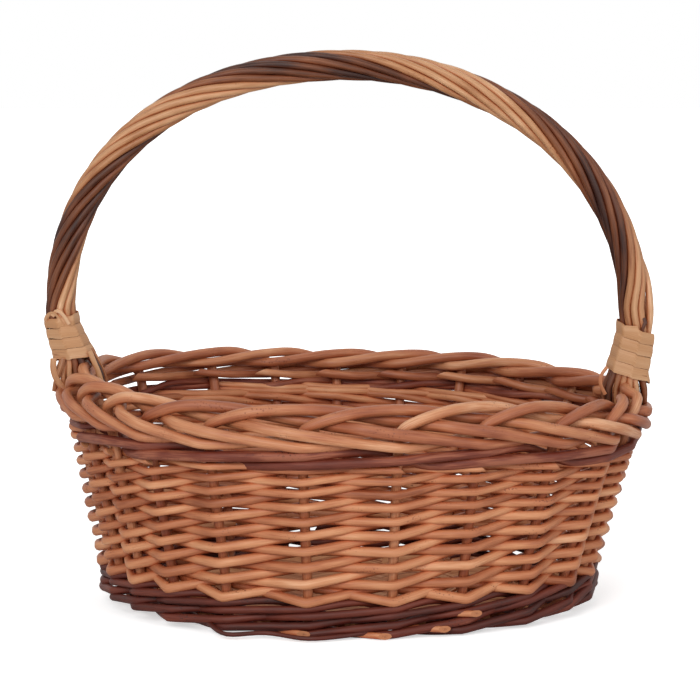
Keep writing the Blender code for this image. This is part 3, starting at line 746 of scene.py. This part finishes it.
def stake_rows(index):
    """A stake from its tip in the base, up through the wall and down the border to its cut butt."""
    turn = stake_turn(index)
    thinning = BACK_THINNING * smooth(math.sin(turn) - BACK_THINNING_START)
    thick = BORDER_ROD_RADIUS * (CHANCE.uniform(*BORDER_ROD_SHARES) * (1 - thinning))
    corner = on_wall(turn, BASE_MIDDLE + FOOT_BEND, 0)
    inward = Vector((
        -math.copysign(FOOT_END_SHARE * abs(math.cos(turn)) ** FOOT_TURN_POWER, math.cos(turn)),
        -math.copysign(abs(math.sin(turn)) ** FOOT_TURN_POWER, math.sin(turn)),
        0,
    )).normalized()
    rows = [row(corner + inward * FOOT_LENGTH - Vector((0, 0, FOOT_BEND)), STAKE_RADIUS * FOOT_TIP_SHARE)]
    for share in FOOT_BEND_PART_SHARES:
        angle = math.pi / 2 * share
        drop = Vector((0, 0, FOOT_BEND * math.cos(angle)))
        bent = corner + inward * FOOT_BEND * (1 - math.sin(angle)) - drop
        rows.append(row(bent, STAKE_RADIUS * FOOT_THICKNESS_SHARE))
    for height in (BASE_MIDDLE + FOOT_BEND, *STAKE_HEIGHTS):
        rows.append(row(on_wall(turn, height, 0), STAKE_RADIUS))
    beside = (index + 1) % STAKES in HANDLE_STAKES
    for number, (spaces, up, out) in enumerate(BORDER_COURSE):
        away = out * MM
        height = BORDER_FOOT + up * MM
        if beside and spaces in BESIDE_HANDLE:
            away = -BLADE_PASS
            height += BESIDE_HANDLE_LIFT
        share = smooth(number / BORDER_THICK_FROM_POINT)
        past = max(0, spaces - BORDER_TIP_START) / (BORDER_COURSE[-1][0] - BORDER_TIP_START)
        tip = 1 + (BORDER_TIP_SHARE - 1) * past
        radius = (STAKE_RADIUS + (thick - STAKE_RADIUS) * share) * tip
        rows.append(row(on_wall(turn_at(index + spaces), height, away), radius))
    return rows


def build_stakes(finishes):
    """Twenty-two stakes, woven down one into the next as the border."""
    for index in range(STAKES):
        course = grown(stake_rows(index), BORDER_DRAWN, index)
        end = turn_at(index + BORDER_COURSE[-1][0])
        inward = on_wall(end, 0, -1) - on_wall(end, 0, 0)
        knifed = inward * BORDER_CUT_SLANT - UP * CHANCE.uniform(*BORDER_CUT_DROPS)
        add_rod_piece(
            f"stake_rod_{index + 1:02d}", course, finishes, "border", "stake", [f"stake_{index + 1:02d}"],
            sides=12, tone=CHANCE.uniform(*ROD_TONES), slants=(NO_SLANT, knifed),
        )


def weaver_height(stroke):
    """Height of a weaver's axis at the stake that ends a stroke; the odd ones are behind the stake."""
    if stroke < 0:
        return FIRST_WEAVER + WEAVER_START
    done = min(stroke, SIDING_STROKES)
    steady = WEAVER_RISE_LOW * done - (WEAVER_RISE_LOW - WEAVER_RISE_HIGH) / 2 / SIDING_STROKES * done ** 2
    if stroke > SIDING_STROKES:
        return FIRST_WEAVER + steady + LAST_RISE * (stroke - SIDING_STROKES)
    kink = WEAVER_KINK_LOW + (WEAVER_KINK_HIGH - WEAVER_KINK_LOW) * stroke / SIDING_STROKES
    return FIRST_WEAVER + steady + (kink if stroke % 2 else 0)


def build_siding(finishes):
    """One weaver starts at each stake; together they rise round the basket."""
    for first in range(STAKES):
        end = SIDING_STROKES + CHANCE.choice(LAST_STROKES)
        if math.sin(stake_turn(first + SIDING_STROKES)) > BACK_STROKES_START:
            end += BACK_STROKES
        thick = CHANCE.uniform(*THICKNESS_SHARES)
        lift = CHANCE.uniform(-WEAVER_SHIFT, WEAVER_SHIFT)
        rows = []
        for stroke in range(-1, SIDING_STROKES + 5):
            side = 1 if stroke % 2 == 0 else -1
            height = weaver_height(stroke) + lift + CHANCE.uniform(-WEAVER_JITTER, WEAVER_JITTER)
            before = (height - weaver_height(stroke - 1)) * STAKE_BEND
            after = (weaver_height(stroke + 1) - height) * STAKE_BEND
            radius = (WEAVER_BUTT + (WEAVER_TIP - WEAVER_BUTT) * max(stroke, 0) / SIDING_STROKES) * thick
            for part, rise in ((-STAKE_BEND, -before), (0, 0), (STAKE_BEND, after)):
                if stroke + part <= end:
                    turn = turn_at(first + stroke + part)
                    rows.append(row(on_wall(turn, height + rise, side * (STAKE_RADIUS + radius)), radius))
        add_rod_piece(
            f"siding_weaver_{first + 1:02d}", grown(rows, SIDING_DRAWN, first), finishes, "siding", "siding",
            ["siding"], sides=10, tone=CHANCE.uniform(*ROD_TONES), slants=(NO_SLANT, -UP),
        )


def stroke_height(phase, period):
    """Share of its climb that a waling rod has made: up along the front, down behind the stake at phase 0."""
    phase = (phase + WALE_CROSSING) % period
    behind = 2 * WALE_CROSSING
    if phase < behind:
        return 1 - 2 * phase / behind
    return 2 * (phase - behind) / (period - behind) - 1


def wale_rows(first, strokes, period, radius, levels):
    """A waling rod's stations; the levels are its middle, climb, pitch of a round, bulge and taper.

    Where it is worked in rounds, it starts one stroke early, under the round that rises onto it.
    """
    middle, climb, pitch, bulge, taper = levels
    rows = []
    for stroke in range(-period if pitch else 0, strokes + 1):
        behind = stroke % period == 0
        parts = (-STAKE_BEND, 0, STAKE_BEND)
        if behind:
            parts = (-WALE_CROSSING, *parts, WALE_CROSSING)
        thick = radius * (1 + taper * (WALE_BUTT_SHARE - (max(stroke, 0) / strokes) ** WALE_TAPER_POWER))
        jitter = CHANCE.uniform(-WALE_JITTER, WALE_JITTER)
        for part in parts:
            spaces = stroke + part
            rounds = spaces / STAKES
            onto_next = smooth((rounds % 1 - WALE_ROUND_CLIMB_START) / (1 - WALE_ROUND_CLIMB_START))
            level = middle + pitch * max(math.floor(rounds) + onto_next, 0)
            back = smooth(math.sin(turn_at(first + spaces)))
            height = level + climb * (1 - WALE_BACK_CLOSENESS * back) * stroke_height(spaces, period) + jitter
            if not pitch:
                height += UPPER_WALE_BACK_RISE * back
            reach = STAKE_RADIUS + thick
            out = -reach if behind else reach + bulge * max(0, 1 - height / (2 * pitch) if pitch else 0)
            if abs(part) == WALE_CROSSING:
                out = -reach * WALE_CROSSING_REACH
            rows.append(row(on_wall(turn_at(first + spaces), max(height, thick - FLOOR_DROP), out), thick))
    return rows


def build_wale(name, finishes, start, rods, period, strokes, radius, levels, tones):
    """Rods worked round the wall together, each a few stakes after the last."""
    for number in range(rods):
        thick = radius * CHANCE.uniform(*THICKNESS_SHARES)
        first = start + number * period / rods
        course = grown(wale_rows(first, strokes, period, thick, levels), WALE_DRAWN, number + period)
        add_rod_piece(
            f"{name}_rod_{number + 1}", course, finishes, "bark", "wale", [name],
            sides=12, tone=CHANCE.uniform(*tones), slants=(NO_SLANT, -UP),
        )


def base_stick_rows():
    """Cross sticks along Y, and long sticks along X that fan out at both ends."""
    cross = []
    for share in CROSS_STICK_PLACE_SHARES:
        place = share * BASE_HALF_LENGTH
        aside = (abs(place) + CROSS_STICK_HALF_WIDTH) / BASE_LENGTH
        end = BASE_WIDTH * math.sqrt(1 - aside * aside) - CROSS_STICK_GAP
        parts = range(-CROSS_STICK_PARTS, CROSS_STICK_PARTS + 1)
        places = [(place, end * part / CROSS_STICK_PARTS, BASE_MIDDLE) for part in parts]
        cross.append([row(point, CROSS_STICK_HALF_WIDTH) for point in places])
    long = []
    straight = max(abs(share) for share in CROSS_STICK_PLACE_SHARES) * BASE_HALF_LENGTH + LONG_STICK_STRAIGHT
    for order in (-1, 0, 1):
        near = order * LONG_STICK_PITCH
        far = order * LONG_STICK_FAN
        tip = BASE_LENGTH * math.sqrt(1 - (far / BASE_WIDTH) ** 2) - LONG_STICK_GAP
        half = ((straight, near), ((straight + tip) / 2, (near + far) / 2), (tip, far))
        places = [(-along, aside) for along, aside in reversed(half)] + list(half)
        long.append([row((along, aside, BASE_MIDDLE), LONG_STICK_RADIUS) for along, aside in places])
    return cross, long


def crossing_turns(length, width):
    """The turns at which a round of the base passes its sticks, in order."""
    turns = []
    for share in CROSS_STICK_PLACE_SHARES:
        place = share * BASE_HALF_LENGTH
        if abs(place) < length - CROSS_STICK_TIP:
            turn = math.acos(place / length)
            turns += [turn, math.tau - turn]
    reach = LONG_STICK_FAN if length > LONG_STICK_FANNED else LONG_STICK_PITCH
    for order in (-1, 0, 1):
        aside = math.asin(max(min(order * reach / width, LONG_STICK_SINE_LIMIT), -LONG_STICK_SINE_LIMIT))
        turns += [aside % math.tau, math.pi - aside]
    return sorted(turns)


def base_round_rows(number, strand):
    """One of a round's two weavers: over a stick where the other is under, and twisted with it between."""
    inset = BASE_WEAVER + number * BASE_ROUND_PITCH
    length = BASE_LENGTH - inset
    width = BASE_WIDTH - inset
    lift = BASE_MIDDLE - BASE_WEAVER
    sway = TWIST_SWAY if strand else -TWIST_SWAY
    turns = crossing_turns(length, width)
    rows = []
    for index in range(len(turns) + 1):
        turn = turns[index % len(turns)] + math.tau * (index // len(turns))
        after = turns[(index + 1) % len(turns)] + math.tau * ((index + 1) // len(turns))
        side = 1 if (index + strand + number) % 2 else -1
        parts = max(1, round((after - turn) / TWIST_STEP))
        for part in range(parts):
            share = part / parts
            between = turn + (after - turn) * share
            out = sway * math.sin(math.pi * share)
            height = BASE_MIDDLE + side * lift * math.cos(math.pi * share)
            place = ((length + out) * math.cos(between), (width + out) * math.sin(between), height)
            rows.append(row(place, BASE_WEAVER))
    return rows


def build_base(finishes):
    """Pierced cross sticks, long sticks through them, and rounds of two twisted weavers."""
    flatness = CROSS_STICK_HALF_HEIGHT / CROSS_STICK_HALF_WIDTH
    cross, long = base_stick_rows()
    for kind, sticks, drawn, flat in (
        ("cross_stick", cross, CROSS_STICK_DRAWN, flatness), ("long_stick", long, LONG_STICK_DRAWN, 1),
    ):
        for number, rows in enumerate(sticks, 1):
            add_rod_piece(
                f"{kind}_{number}", grown(rows, drawn, number), finishes, "base", "base_stick",
                [f"base_{kind}_{number}"], sides=10, tone=CHANCE.uniform(*STICK_TONES), flat=flat,
            )
    for number in range(math.floor((BASE_WIDTH - BASE_MIDDLE_OPENING) / BASE_ROUND_PITCH)):
        bm = new_piece()
        for strand in (0, 1):
            course = grown(base_round_rows(number, strand), BASE_ROUND_DRAWN, number * 2 + strand)
            add_rod(bm, course, sides=6, tone=CHANCE.uniform(*BASE_ROUND_TONES))
        name = f"base_round_{number + 1:02d}"
        add_piece(name, bm, (finishes["base"], finishes["cut"]), ["base_weave"])


def arch_place(share):
    """The middle of the arch and its outward direction, at a share of the way from its left foot."""
    bend = math.pi * share
    outward = Vector((-ARCH_RISE * math.cos(bend), 0, ARCH_HALF_SPAN * math.sin(bend))).normalized()
    across = ARCH_MIDDLE - ARCH_HALF_SPAN * math.cos(bend)
    middle = Vector((across, 0, ARCH_FOOT + ARCH_RISE * math.sin(bend)))
    fullness = ARCH_FULLNESS * math.sin(2 * bend) ** 2 if share < 0.5 else 0
    return middle + outward * fullness, outward


def tucked(x, y, along, across):
    """The place of a rod drawn in as far as the tight skein draws it."""
    corners = [(along * math.cos(math.radians(a)), across * math.sin(math.radians(a))) for a in SKEIN_CORNERS]
    share = 1
    for step in range(TUCK_CHECKS):
        bend = math.tau * step / TUCK_CHECKS
        reach = x * math.cos(bend) + y * math.sin(bend)
        limit = max(a * math.cos(bend) + b * math.sin(bend) for a, b in corners)
        if reach > limit - FOOT_CLEARANCE / MM:
            share = min(share, (limit - FOOT_CLEARANCE / MM) / reach)
    return x * share, y * share


def foot_rows(side, slot, foot, places):
    """A handle rod's stations in a foot, from the arch down; inside the binding it moves to its own place."""
    rows = []
    angle = math.tau / WRAP_RODS * (slot + 0.5)
    goal = places[slot]
    bound = len(foot) - len(TAIL_SHARES)
    for step, (height, out, along, across) in enumerate(foot[1:], 1):
        share = smooth((step - 1) / 2)
        wide = along - (FOOT_CLEARANCE / MM if step < bound else 0)
        last = (max(min(goal[0], wide), -wide), max(min(goal[1], across), -across))
        x = wide * math.cos(angle) * (1 - share) + last[0] * share
        y = across * math.sin(angle) * (1 - share) + last[1] * share
        if step < bound:
            x, y = tucked(x, y, along, across)
        thin = 1 if step < bound else TAIL_SHARES[step - bound]
        rows.append(row(Vector((side * (out + x), -y, height)) * MM, WRAP_ROD_RADIUS * thin))
    return rows


def wrap_rows(slot):
    """A handle rod from its left tail, round the bow, to its right tail."""
    rows = foot_rows(-1, slot, LEFT_FOOT, LEFT_PLACES)[::-1]
    right_slot = (slot + WRAP_STEPS_TURNED) % WRAP_RODS
    for step in range(ARCH_STEPS + 1):
        share = step / ARCH_STEPS
        circle = WRAP_CIRCLE
        if right_slot == LOOSE_SLOT:
            circle += LOOSE_REACH * smooth((share - LOOSE_START) / (1 - LOOSE_START))
        middle, outward = arch_place(share)
        turned = WRAP_STEPS_TURNED * (share + WRAP_EASE_SHARE * (share - share ** WRAP_EASE_POWER))
        angle = math.tau / WRAP_RODS * (slot + 0.5 + turned)
        flat = Vector((0, -circle * math.sin(angle), 0))
        rows.append(row(middle + outward * circle * math.cos(angle) + flat, WRAP_ROD_RADIUS))
    return rows + foot_rows(1, right_slot, RIGHT_FOOT, RIGHT_PLACES)


def foot_at(foot, height):
    """The middle and the two spreads of a foot at a height, in metres."""
    height = height / MM
    pairs = [pair for pair in zip(foot, foot[1:]) if pair[1][0] <= height] or [(foot[-2], foot[-1])]
    high, low = pairs[0]
    share = (height - low[0]) / (high[0] - low[0])
    return [(low[i] + (high[i] - low[i]) * share) * MM for i in (1, 2, 3)]


def skein_point(side, foot, angle, height, grow):
    """Where a skein drawn tight round the rods lies: on the corner rod that reaches furthest that way."""
    facing = Vector((math.cos(angle), -math.sin(angle), 0))
    middle, along, across = foot_at(foot, height)
    corners = []
    for degrees in SKEIN_CORNERS:
        bend = math.radians(degrees)
        corners.append(Vector((along * math.cos(bend), -across * math.sin(bend), 0)))
    place = max(corners, key=facing.dot) + facing * (WRAP_ROD_RADIUS + grow)
    return Vector((side * (middle + place.x), place.y, height)), place.x


def build_binding(name, side, foot, binding, finishes):
    """A flat skein in close turns, drawn tight round the handle's rods."""
    bottom, pitch, tilt = binding
    bm = new_piece()
    grain = bm.verts.layers.float_vector["grain"]
    shade = bm.verts.layers.float["tone"]
    width = pitch - SKEIN_GAP
    bmesh.ops.create_grid(bm, x_segments=SKEIN_TURNS * SKEIN_STEPS, y_segments=SKEIN_STEPS_ACROSS, size=0.5)
    for vert in bm.verts:
        along = vert.co.x + 0.5
        across = vert.co.y
        angle = math.tau * (SKEIN_TURNS * along + SKEIN_START_SHARE)
        middle = bottom + pitch * SKEIN_TURNS * along
        grow = SKEIN_THICKNESS + SKEIN_DOME - SKEIN_DOME_FALL * across * across
        aside = skein_point(side, foot, angle, middle, grow)[1]
        height = middle + across * width - tilt * aside
        vert.co = skein_point(side, foot, angle, height, grow)[0]
        vert[grain] = Vector((along * SKEIN_TURNS * SKEIN_TURN_LENGTH, across * width, 0))
        vert[shade] = SKEIN_TONE + SKEIN_TONE_CHANGE * noise.noise(Vector((along * 9, 3, side)))
    bmesh.ops.recalc_face_normals(bm, faces=bm.faces[:])
    middle = Vector((side * foot[1][1] * MM, 0, foot[1][0] * MM))
    outward = sum(face.normal.dot(face.calc_center_median() - middle) for face in bm.faces)
    if outward < 0:
        bmesh.ops.reverse_faces(bm, faces=bm.faces[:])
    bmesh.ops.solidify(bm, geom=bm.faces[:], thickness=SKEIN_THICKNESS)
    add_piece(f"skein_{name}", bm, (finishes["skein"],), [f"binding_{name}"])


def build_bow(finishes):
    """The thick rod inside the handle, pared down at both feet and pushed into the wall."""
    rows = [row(on_wall(math.pi, height, 0), radius) for height, radius in BOW_FOOT]
    rows.append(row(BOW_LEFT_SHOULDER, BOW_SHOULDER_RADIUS))
    for step in range(ARCH_STEPS + 1):
        rows.append(row(arch_place(step / ARCH_STEPS)[0], BOW_RADIUS))
    rows.append(row(BOW_RIGHT_SHOULDER, BOW_SHOULDER_RADIUS))
    rows += [row(on_wall(0, height, 0), radius) for height, radius in reversed(BOW_FOOT)]
    course = smooth_course(rows, BOW_STEP)
    add_rod_piece(
        "bow_rod", course, finishes, "bow", "handle_bow", ["handle_bow"], sides=12, facing=TO_VIEWER
    )


def build_handle(finishes):
    """The bow, ten rods wound round it in two colours, and a skein binding at each foot."""
    build_bow(finishes)
    half = WRAP_RODS // 2
    for number in range(WRAP_RODS):
        colour = "brown" if number < half else "buff"
        finish = f"handle_{colour}"
        course = grown(wrap_rows((FIRST_BROWN_SLOT + number) % WRAP_RODS), HANDLE_DRAWN, number)
        kind = f"rod_{colour}_{number % half + 1}"
        add_rod_piece(
            f"wound_{kind}", course, finishes, finish, finish, [f"handle_{kind}"], sides=12,
            tone=CHANCE.uniform(*HANDLE_TONES[colour]), slants=(TO_VIEWER, -TO_VIEWER), facing=TO_VIEWER,
        )
    build_binding("left", -1, LEFT_FOOT, LEFT_BINDING, finishes)
    build_binding("right", 1, RIGHT_FOOT, RIGHT_BINDING, finishes)


def build_loose_ends(finishes):
    """The strips tied in at the handle's feet, a rod that hangs from the wale, and the sawn feet under it."""
    for number, (finish, half_width, points) in enumerate(TIES, 1):
        course = smooth_course([row(Vector(point) * MM, half_width * MM) for point in points], TIE_STEP)
        add_rod_piece(
            f"foot_tie_{number}", course, finishes, finish, finish,
            tone=CHANCE.uniform(*ROD_TONES), flat=TIE_FLATNESS, facing=TO_VIEWER,
        )
    rows = []
    for share, height, out in HANGING_ROD:
        rows.append(row(on_wall(math.tau * share, height * MM, out * MM), HANGING_ROD_RADIUS))
    course = grown(rows, HANGING_DRAWN)
    add_rod_piece("hanging_wale_rod", course, finishes, "bark", "wale", tone=HANGING_ROD_TONE)
    for number, (share, height) in enumerate(STAKE_FEET, 1):
        rows = []
        for out in STAKE_FOOT_COURSE:
            turn = math.tau * (share + STAKE_FOOT_TURN_SHARE * (out - STAKE_FOOT_COURSE[-1]))
            rows.append(row(on_wall(turn, height * MM, out * MM), STAKE_FOOT_RADIUS))
        slants = (NO_SLANT, STAKE_FOOT_SLANT)
        add_rod_piece(f"sawn_stake_foot_{number}", rows, finishes, "siding", "stake", sides=12, slants=slants)


def build_stage():
    """A plain white floor that keeps the basket's shadow."""
    bm = bmesh.new()
    bmesh.ops.create_grid(bm, x_segments=1, y_segments=1, size=FLOOR_SIZE)
    bmesh.ops.translate(bm, vec=Vector((0, 0, -FLOOR_DROP)), verts=bm.verts[:])
    mesh = bpy.data.meshes.new("studio_floor")
    bm.to_mesh(mesh)
    bm.free()
    floor = bpy.data.objects.new("studio_floor", mesh)
    bpy.context.scene.collection.objects.link(floor)
    # Painted studio floor: matt white, a touch brighter to the camera so that it meets the white room
    made, tree, shader = new_finish("white_studio_floor")
    shader.inputs["Base Color"].default_value = linear("#F0F0F0")
    shader.inputs["Roughness"].default_value = 0.9
    shader.inputs["Specular IOR Level"].default_value = 0.1
    seen = add_node(tree, "ShaderNodeLightPath").outputs["Is Camera Ray"]
    place = add_node(tree, "ShaderNodeTexCoord").outputs["Object"]
    away = add_node(tree, "ShaderNodeVectorMath", {"operation": "LENGTH"}, {0: place})
    lift = add_node(
        tree, "ShaderNodeMapRange", {"From Min": 0.3, "From Max": 1.2, "To Min": 0.55, "To Max": 1},
        {"Value": away.outputs["Value"]},
    )
    glow = add_node(tree, "ShaderNodeMath", {"operation": "MULTIPLY"}, {0: seen, 1: lift.outputs["Result"]})
    shader.inputs["Emission Color"].default_value = linear("#FFFFFF")
    tree.links.new(glow.outputs[0], shader.inputs["Emission Strength"])
    mesh.materials.append(made)


def build_light():
    """Soft, plain studio light from above and in front, and a camera where the photograph was taken."""
    scene = bpy.context.scene
    world = bpy.data.worlds.new("white_room")
    scene.world = world
    world.use_nodes = True
    tree = world.node_tree
    path = add_node(tree, "ShaderNodeLightPath")
    shown = add_node(
        tree, "ShaderNodeMath", {"operation": "MAXIMUM"},
        {0: path.outputs["Is Camera Ray"], 1: path.outputs["Is Glossy Ray"]},
    )
    strength = add_node(
        tree, "ShaderNodeMapRange", {"To Min": ROOM_LIGHT, "To Max": 1}, {"Value": shown.outputs[0]}
    )
    background = tree.nodes["Background"]
    background.inputs["Color"].default_value = linear("#FFFFFF")
    tree.links.new(strength.outputs["Result"], background.inputs["Strength"])
    for name, place, size, power in LAMPS:
        lamp = bpy.data.lights.new(name, "AREA")
        lamp.size = size
        lamp.energy = power
        holder = bpy.data.objects.new(name, lamp)
        holder.location = place
        aim = LAMP_AIM - Vector(place)
        holder.rotation_euler = aim.to_track_quat("-Z", "Y").to_euler()
        scene.collection.objects.link(holder)
    scene.view_settings.view_transform = "Standard"
    camera = bpy.data.cameras.new("photo_camera")
    camera.sensor_width = SENSOR_WIDTH
    camera.lens = CAMERA_FOCAL_PIXELS * SENSOR_WIDTH / PHOTO_PIXELS
    camera.clip_start = 0.1
    camera.clip_end = 50
    holder = bpy.data.objects.new("photo_camera", camera)
    holder.location = CAMERA_PLACE
    holder.rotation_euler = (math.pi / 2 - CAMERA_PITCH, 0, 0)
    scene.collection.objects.link(holder)
    scene.camera = holder


def build():
    """The whole basket, its floor and its light."""
    finishes = make_finishes()
    build_base(finishes)
    build_stakes(finishes)
    levels = (LOWER_WALE_MIDDLE, LOWER_WALE_CLIMB, LOWER_WALE_PITCH, LOWER_WALE_BULGE, LOWER_WALE_TAPER)
    build_wale("lower_wale", finishes, 4, 3, 3, 2 * STAKES + 1, LOWER_WALE_ROD, levels, LOWER_WALE_TONES)
    build_siding(finishes)
    levels = (UPPER_WALE_MIDDLE, UPPER_WALE_CLIMB, 0, 0, UPPER_WALE_TAPER)
    build_wale("upper_wale", finishes, 11, 2, 4, STAKES + 2, UPPER_WALE_ROD, levels, UPPER_WALE_TONES)
    build_handle(finishes)
    build_loose_ends(finishes)
    build_stage()
    build_light()


build()
